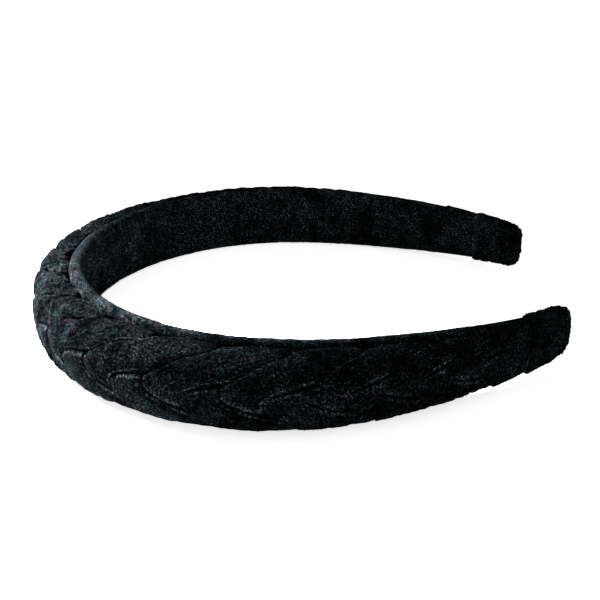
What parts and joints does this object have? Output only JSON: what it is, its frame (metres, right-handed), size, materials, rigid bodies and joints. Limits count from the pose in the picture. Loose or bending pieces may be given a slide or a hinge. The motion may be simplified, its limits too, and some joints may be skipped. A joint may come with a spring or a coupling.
{
  "type": "headband",
  "caption": "Padded velvet headband: a sprung U-shaped band lined inside with velvet, a flat braid of stuffed velvet strands over its outer face, and fabric-covered tips.",
  "frame": {"origin": "middle of the base of the whole band as it rests on its rim", "axes": "+X from the crown of the band to its open tips, +Y to the wearer's left, +Z across the band's width, up from the table"},
  "size_m": [0.1562, 0.1612, 0.0206],
  "materials": {
    "braid_velvet": "crushed black velvet with a fine bright pile sheen",
    "lining_velvet": "black velvet, mottled pile",
    "spring_plastic": "moulded black plastic",
    "foam": "open-cell foam",
    "wadding": "polyester wadding"
  },
  "bodies": {
    "left_half": {"core_left": "spring_plastic", "lining_left": "lining_velvet", "foam_left": "foam", "strand_a_cover_left": "braid_velvet", "strand_a_filling_left": "wadding", "strand_b_cover_left": "braid_velvet", "strand_b_filling_left": "wadding", "strand_c_cover_left": "braid_velvet", "strand_c_filling_left": "wadding", "end_wrap_left": "lining_velvet", "tip_cap_left": "lining_velvet"},
    "right_half": {"core_right": "spring_plastic", "lining_right": "lining_velvet", "foam_right": "foam", "strand_a_cover_right": "braid_velvet", "strand_a_filling_right": "wadding", "strand_b_cover_right": "braid_velvet", "strand_b_filling_right": "wadding", "strand_c_cover_right": "braid_velvet", "strand_c_filling_right": "wadding", "end_wrap_right": "lining_velvet", "tip_cap_right": "lining_velvet"}
  },
  "joints": [
    {"name": "crown_flex", "type": "hinge", "parent": "left_half", "child": "right_half", "pos_m": [-0.06502, 0.00011, 0.01022], "axis": [0, 0, -1], "range_deg": [-4, 22], "stiffness_Nm_per_rad": 1.2}
  ]
}
